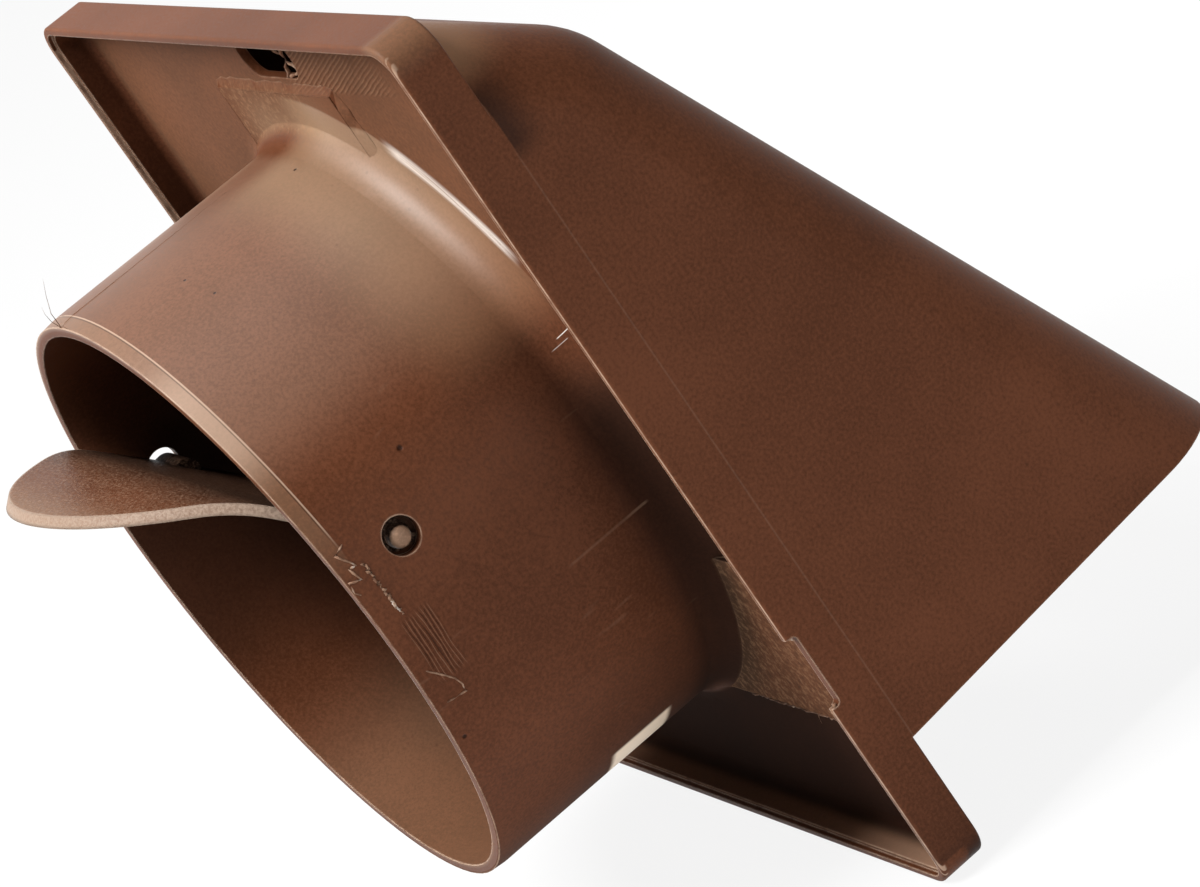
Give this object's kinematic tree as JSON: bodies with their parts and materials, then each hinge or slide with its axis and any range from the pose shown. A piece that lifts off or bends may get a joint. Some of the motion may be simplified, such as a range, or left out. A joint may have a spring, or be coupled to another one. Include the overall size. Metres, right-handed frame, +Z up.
{
  "type": "hooded wall vent with back-draught flap",
  "caption": "Square-flanged plastic wall vent with a sloping rain hood open below, a round duct spigot behind, and a cranked disc flap that swings on pips in the spigot.",
  "frame": {"origin": "on the spigot axis, in the plane of the flange's rear edge", "axes": "+X to the right seen from outside, +Y along the spigot into the wall, +Z up"},
  "size_m": [0.14, 0.1312, 0.14],
  "materials": {
    "vent_body": "satin moulded brown plastic",
    "damper_flap": "fine-grained moulded brown plastic"
  },
  "bodies": {
    "body": {"vent_body": "vent_body"},
    "flap": {"damper_flap": "damper_flap"}
  },
  "joints": [
    {"name": "flap_pivot", "type": "hinge", "parent": "body", "child": "flap", "pos_m": [0, 0.0285, 0.01095], "axis": [1, 0, 0], "range_deg": [-22, 42.3]}
  ]
}
